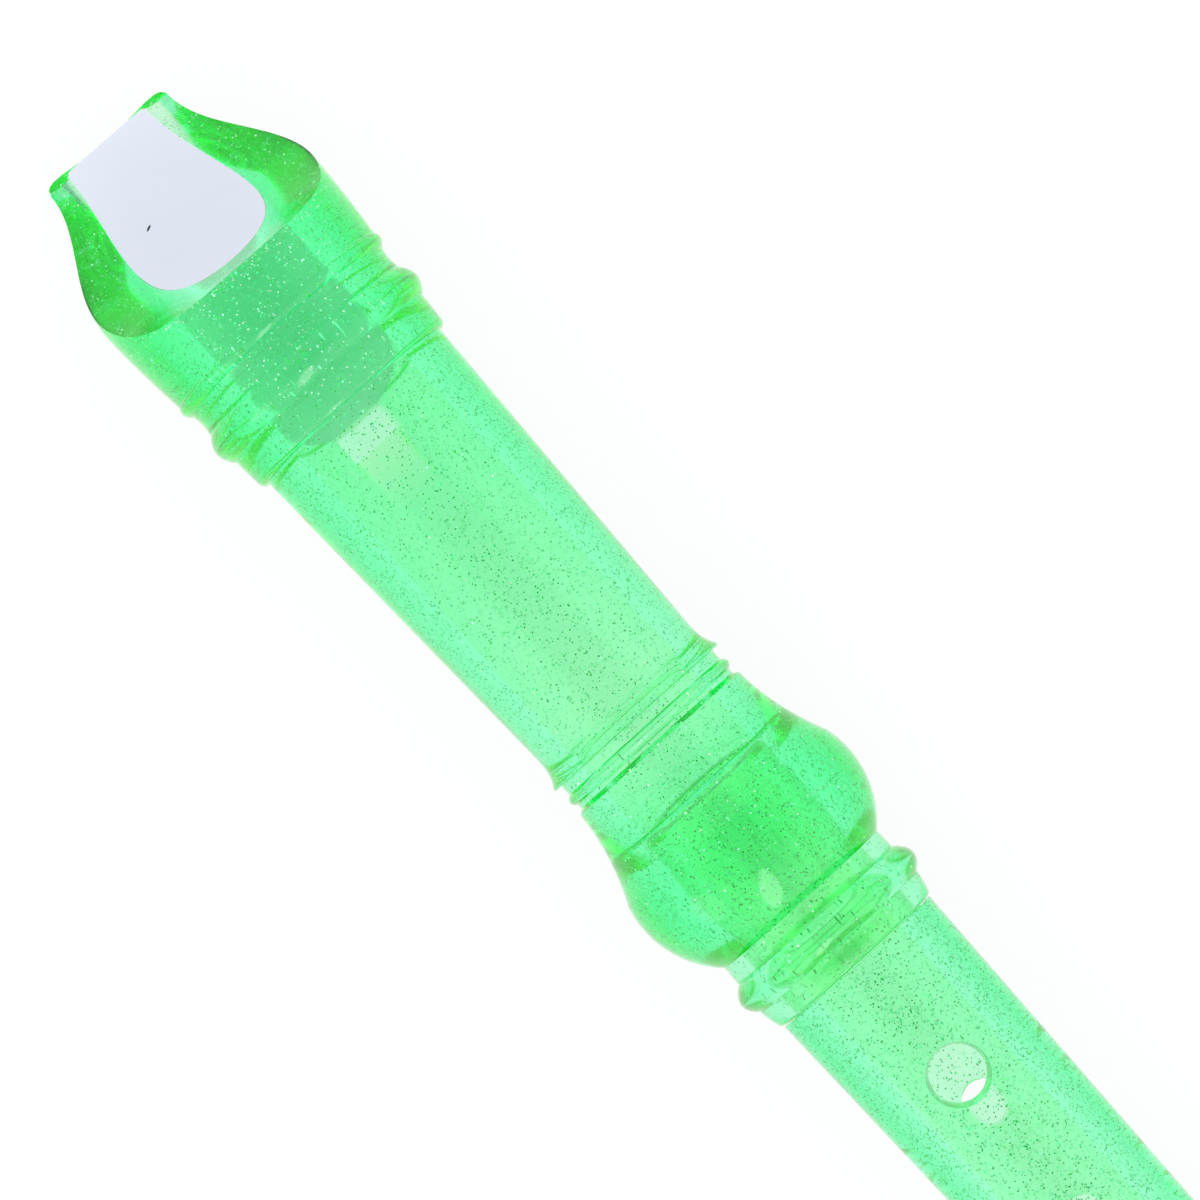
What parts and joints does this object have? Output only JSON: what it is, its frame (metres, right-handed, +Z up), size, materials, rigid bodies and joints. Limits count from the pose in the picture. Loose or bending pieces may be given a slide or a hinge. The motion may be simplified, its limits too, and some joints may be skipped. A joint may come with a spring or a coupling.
{
  "type": "descant recorder",
  "caption": "Clear green descant recorder: a head joint with a block in its beak, a middle joint with thumb and finger holes, and a foot joint, joined by tenons, with the head turned 8 degrees on its tenon.",
  "frame": {"origin": "under the middle of the recorder's length, on the plane that the barrel of the head rests on", "axes": "+X from the mouth end to the foot end, +Z up out of the thumb hole, +Y to the player's right when the thumb side faces the player and the mouth end is up"},
  "size_m": [0.3248, 0.0344, 0.0342],
  "materials": {
    "clear_green": "clear green moulded plastic with fine silver glitter in it, polished",
    "block_white": "opaque white moulded plastic with a faint lavender cast, satin"
  },
  "bodies": {
    "middle": {"middle_joint": "clear_green"},
    "head": {"head_joint": "clear_green", "fipple_block": "block_white"},
    "foot": {"foot_joint": "clear_green"}
  },
  "joints": [
    {"name": "head_slide", "type": "slide", "parent": "middle", "child": "head", "axis": [-1, 0, 0], "range_m": [0, 0.03]},
    {"name": "foot_turn", "type": "hinge", "parent": "middle", "child": "foot", "pos_m": [0.115, 0, 0.01718], "axis": [1, 0, 0], "continuous": true}
  ]
}
